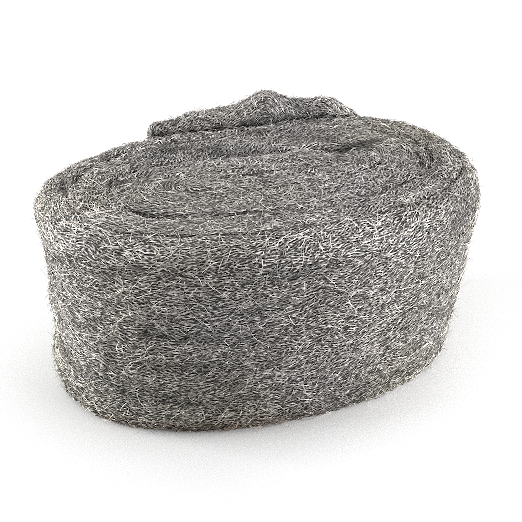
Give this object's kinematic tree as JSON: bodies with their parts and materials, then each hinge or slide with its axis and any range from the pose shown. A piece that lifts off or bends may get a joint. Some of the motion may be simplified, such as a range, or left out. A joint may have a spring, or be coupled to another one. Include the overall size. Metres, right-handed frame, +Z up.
{
  "type": "steel wool roll",
  "caption": "Flattened oval roll of matted fine steel fibre strip, wound on itself and standing on its edge, for scouring, polishing and stuffing gaps.",
  "frame": {"origin": "under the middle of the roll, on the surface that it stands on", "axes": "+Z up along the strip's width, +X along the long axis of the oval, +Y towards the back, where the strip's loose end stands up"},
  "size_m": [0.1682, 0.112, 0.0878],
  "materials": {
    "steel_wool": "matted fine steel fibre, bright glints over dark gaps"
  },
  "bodies": {
    "root": {"wool_roll": "steel_wool"}
  },
  "joints": []
}
